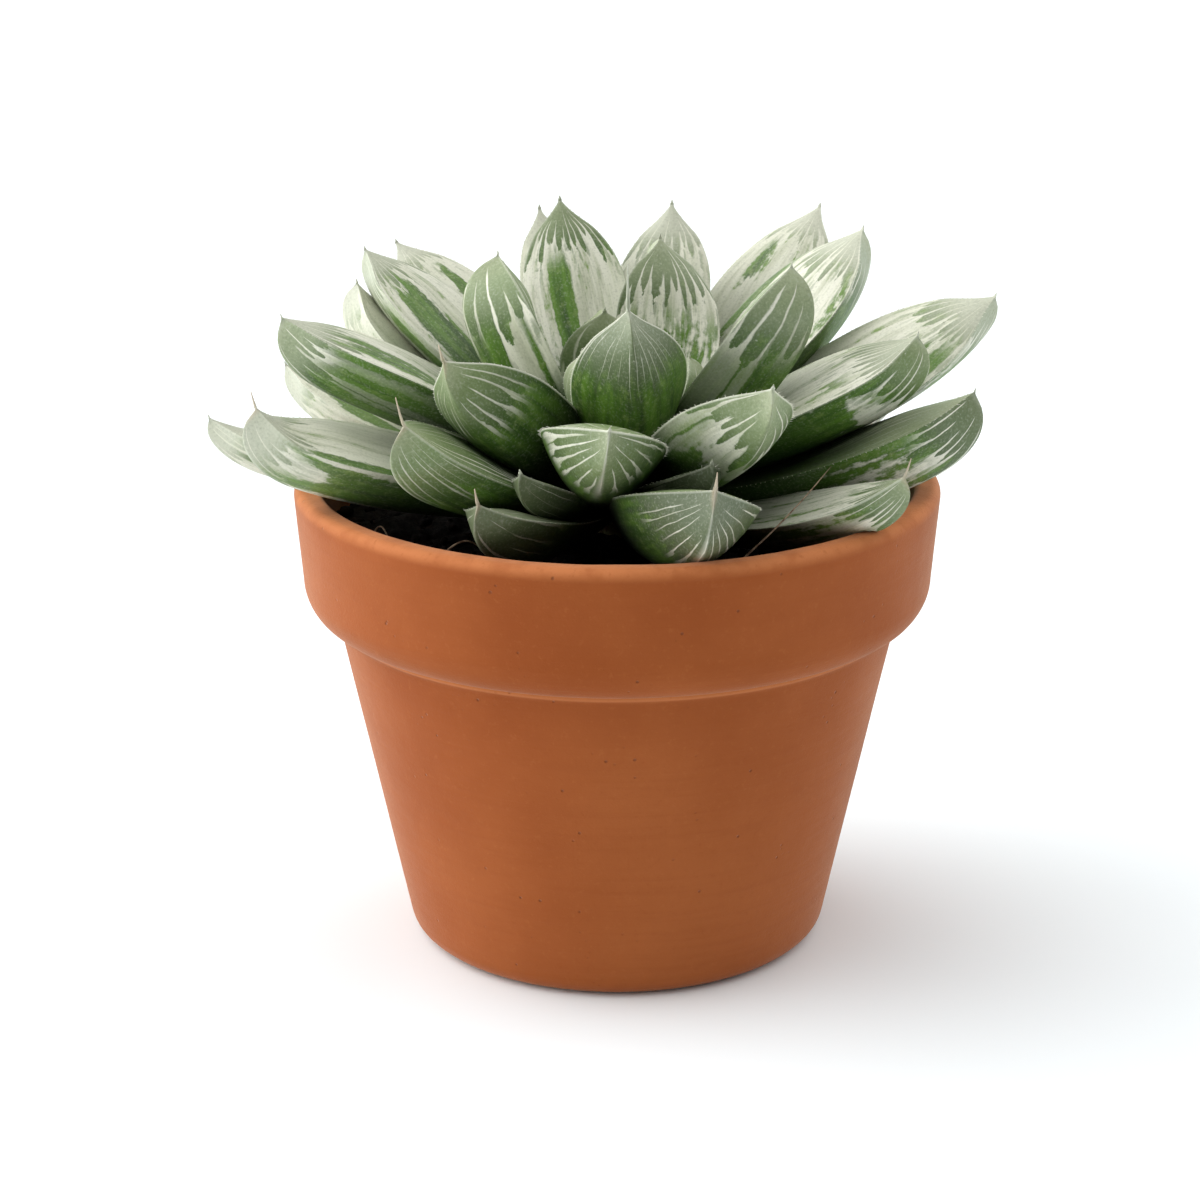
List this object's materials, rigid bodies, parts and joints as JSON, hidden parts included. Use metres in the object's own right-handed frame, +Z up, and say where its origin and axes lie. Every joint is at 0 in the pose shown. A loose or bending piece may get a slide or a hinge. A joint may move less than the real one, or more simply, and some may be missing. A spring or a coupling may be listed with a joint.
{
  "type": "potted haworthia",
  "caption": "Haworthia rosette of thick, keeled, streaked leaves on a short stem, in a filled clay pot with a rolled rim and a drain hole.",
  "frame": {"origin": "on the standing surface, under the middle of the whole plant's box; the pot's axis is parallel to Z at x = +2.9 mm", "axes": "+Z up along the pot's axis, -Y towards the front that the picture shows, +X to its right"},
  "size_m": [0.1313, 0.1087, 0.121],
  "materials": {
    "terracotta": "matte",
    "soil": "matte",
    "stem": "matte",
    "leaf": "satin"
  },
  "bodies": {
    "root": {"pot": "terracotta", "soil": "soil", "stem": "stem", "leaf_heart_core": "leaf", "leaf_heart_left": "leaf", "leaf_heart_bud": "leaf", "leaf_inner_left": "leaf", "leaf_heart_right": "leaf", "leaf_heart_back": "leaf", "leaf_heart_front": "leaf", "leaf_inner_right": "leaf", "leaf_back_shaded": "leaf", "leaf_back_right": "leaf", "leaf_right_back_low": "leaf", "leaf_back_left": "leaf", "leaf_left_back": "leaf", "leaf_front_left": "leaf", "leaf_right_back": "leaf", "leaf_left_back_low": "leaf", "leaf_front_right": "leaf", "leaf_left_back_shaded": "leaf", "leaf_left": "leaf", "leaf_right_front": "leaf", "leaf_right": "leaf", "leaf_front": "leaf", "leaf_rear_high": "leaf", "leaf_front_left_low": "leaf", "leaf_rear_left": "leaf", "leaf_front_right_small": "leaf", "leaf_right_low": "leaf", "leaf_front_left_small": "leaf", "leaf_rear_right": "leaf", "leaf_front_right_low": "leaf", "leaf_left_low": "leaf", "leaf_left_shaded": "leaf", "leaf_rear_right_low": "leaf", "leaf_rear_left_low": "leaf", "leaf_right_front_low": "leaf", "leaf_rear_low": "leaf", "leaf_front_lowest": "leaf", "leaf_left_lowest": "leaf"}
  },
  "joints": []
}
